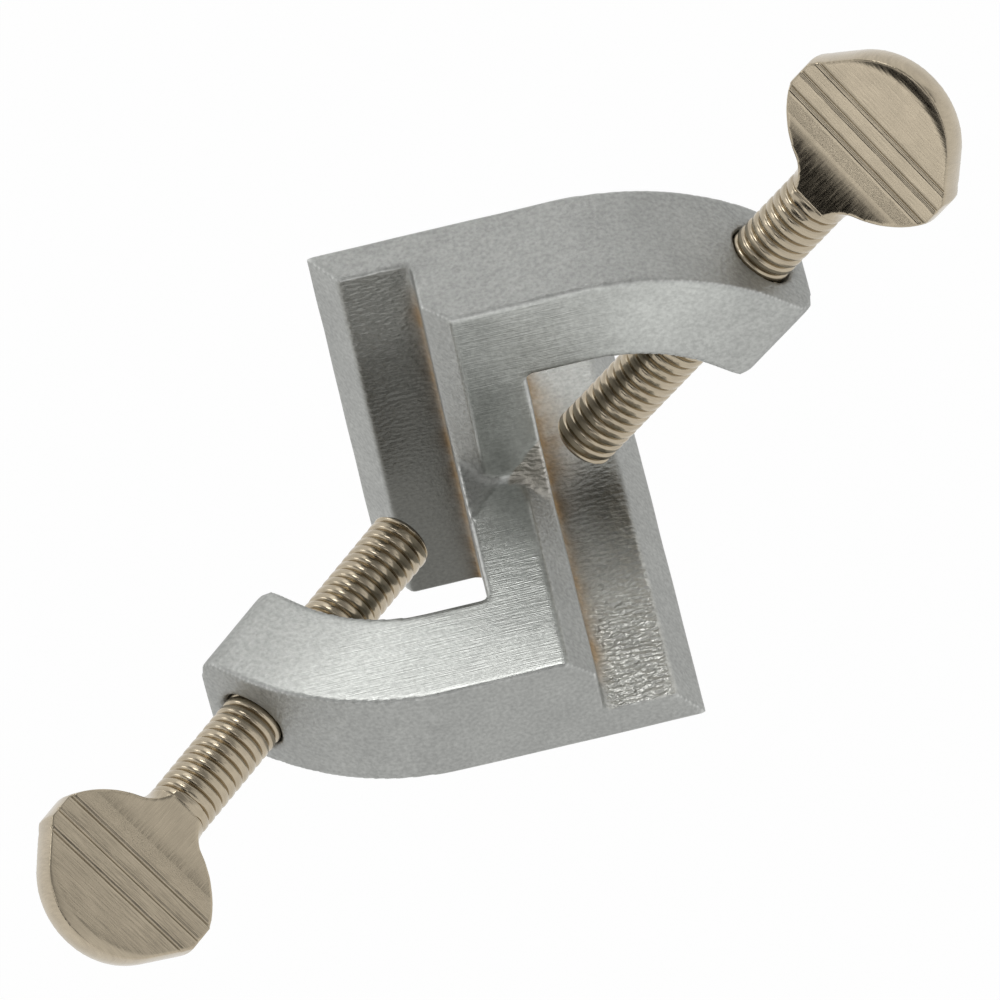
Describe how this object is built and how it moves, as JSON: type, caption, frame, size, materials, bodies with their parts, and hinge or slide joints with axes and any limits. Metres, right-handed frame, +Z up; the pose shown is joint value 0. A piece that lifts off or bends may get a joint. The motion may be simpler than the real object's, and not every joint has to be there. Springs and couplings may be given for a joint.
{
  "type": "boss head clamp",
  "caption": "Cast S-shaped laboratory boss head with two V-grooved rod jaws at right angles, each closed by a hooked arm and a thumb screw.",
  "frame": {"origin": "on the corner line of the stand rod's V-groove, level with the middle of the hook that closes it", "axes": "+Z up along the stand rod; the cross rod runs along Y; +X points from the stand rod's groove towards the cross rod's groove; -Y points out of the stand rod's jaw"},
  "size_m": [0.128, 0.0797, 0.0763],
  "materials": {
    "plated_casting": "satin plating over a cast skin, with faint brown staining in the grooves",
    "nickel_plated_screw": "warm nickel plating, brushed on the grip faces"
  },
  "bodies": {
    "clamp_body": {"clamp_body": "plated_casting"},
    "cross_rod_screw": {"cross_rod_screw": "nickel_plated_screw"},
    "stand_rod_screw": {"stand_rod_screw": "nickel_plated_screw"}
  },
  "joints": [
    {"name": "cross_rod_screw_travel", "type": "slide", "parent": "clamp_body", "child": "cross_rod_screw", "axis": [-0.7071, 0, -0.7071], "range_m": [-0.024, 0.00325]},
    {"name": "stand_rod_screw_travel", "type": "slide", "parent": "clamp_body", "child": "stand_rod_screw", "axis": [0.7071, 0.7071, 0], "range_m": [-0.0194, 0.00785]}
  ]
}
